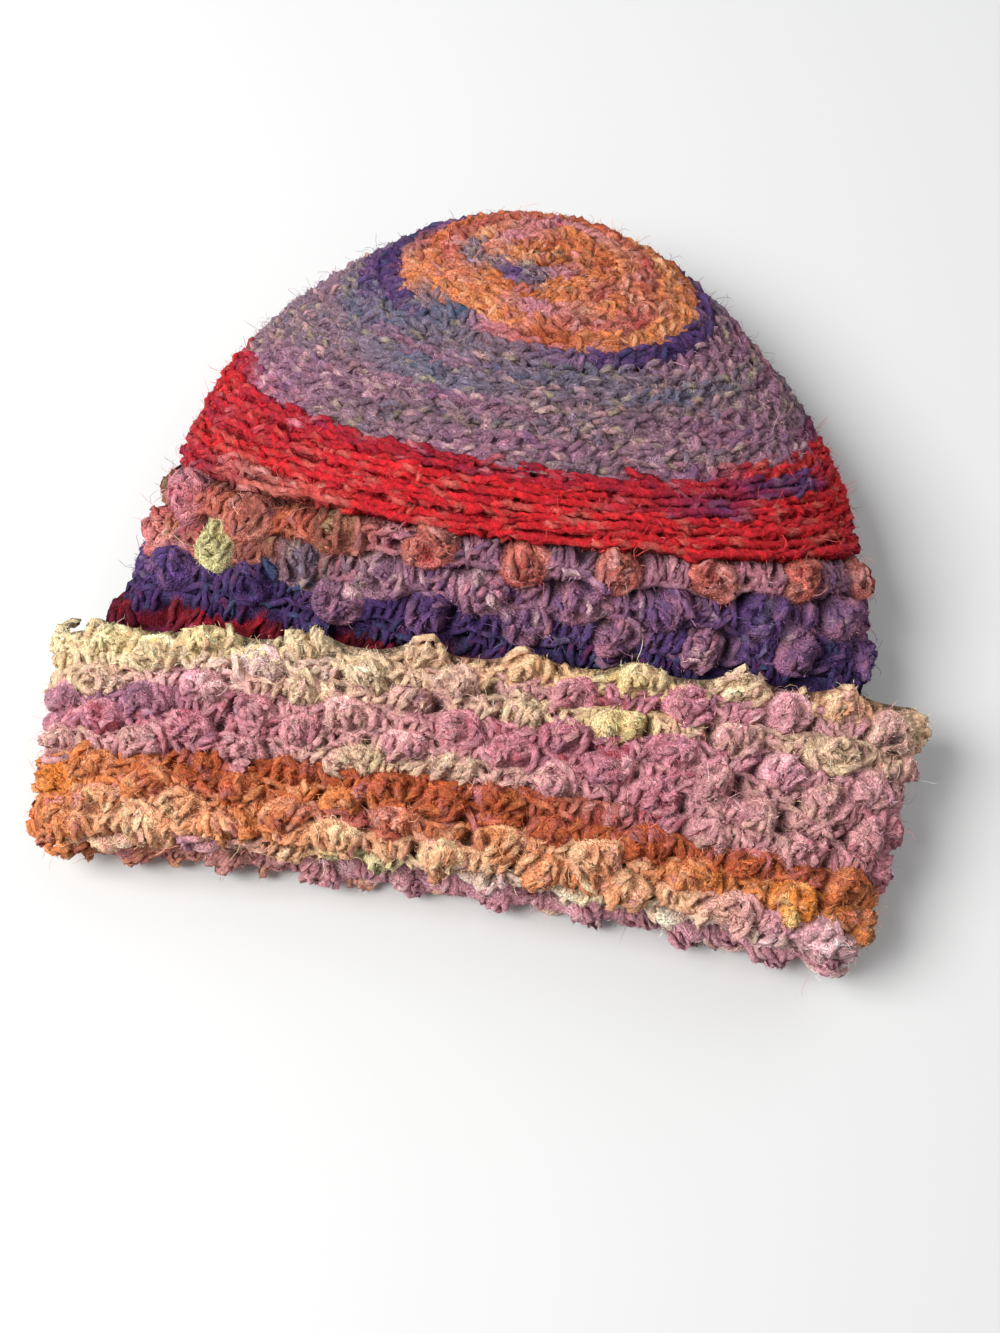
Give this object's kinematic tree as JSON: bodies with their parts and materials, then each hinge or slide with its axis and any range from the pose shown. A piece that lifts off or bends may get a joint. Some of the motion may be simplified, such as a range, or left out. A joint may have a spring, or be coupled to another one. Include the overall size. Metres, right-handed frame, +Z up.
{
  "type": "crocheted beanie",
  "caption": "Thick crocheted wool beanie with bobble stitches and a turned-up cuff, lying on its back, in bands of self-striping yarn.",
  "frame": {"origin": "on the surface that the hat lies on, under the middle of its overall box", "axes": "+X across the brim, +Y from the mouth to the crown, +Z up, away from the surface that it lies on"},
  "size_m": [0.2908, 0.2502, 0.0791],
  "materials": {
    "orange_wool": "fuzzy wool, heathered",
    "mauve_grey_wool": "fuzzy wool, heathered",
    "red_wool": "fuzzy wool, heathered",
    "indigo_rust_wool": "fuzzy wool, heathered",
    "dark_red_wool": "fuzzy wool, heathered",
    "peach_rust_wool": "fuzzy wool, heathered",
    "pink_mauve_wool": "fuzzy wool, heathered",
    "cream_wool": "fuzzy wool, heathered"
  },
  "bodies": {
    "root": {"crown_disc": "orange_wool", "crown_side": "mauve_grey_wool", "red_band": "red_wool", "bobble_band": "indigo_rust_wool", "hem_band": "dark_red_wool", "cuff_fold": "peach_rust_wool", "cuff_band": "pink_mauve_wool", "cuff_edge": "cream_wool"}
  },
  "joints": []
}
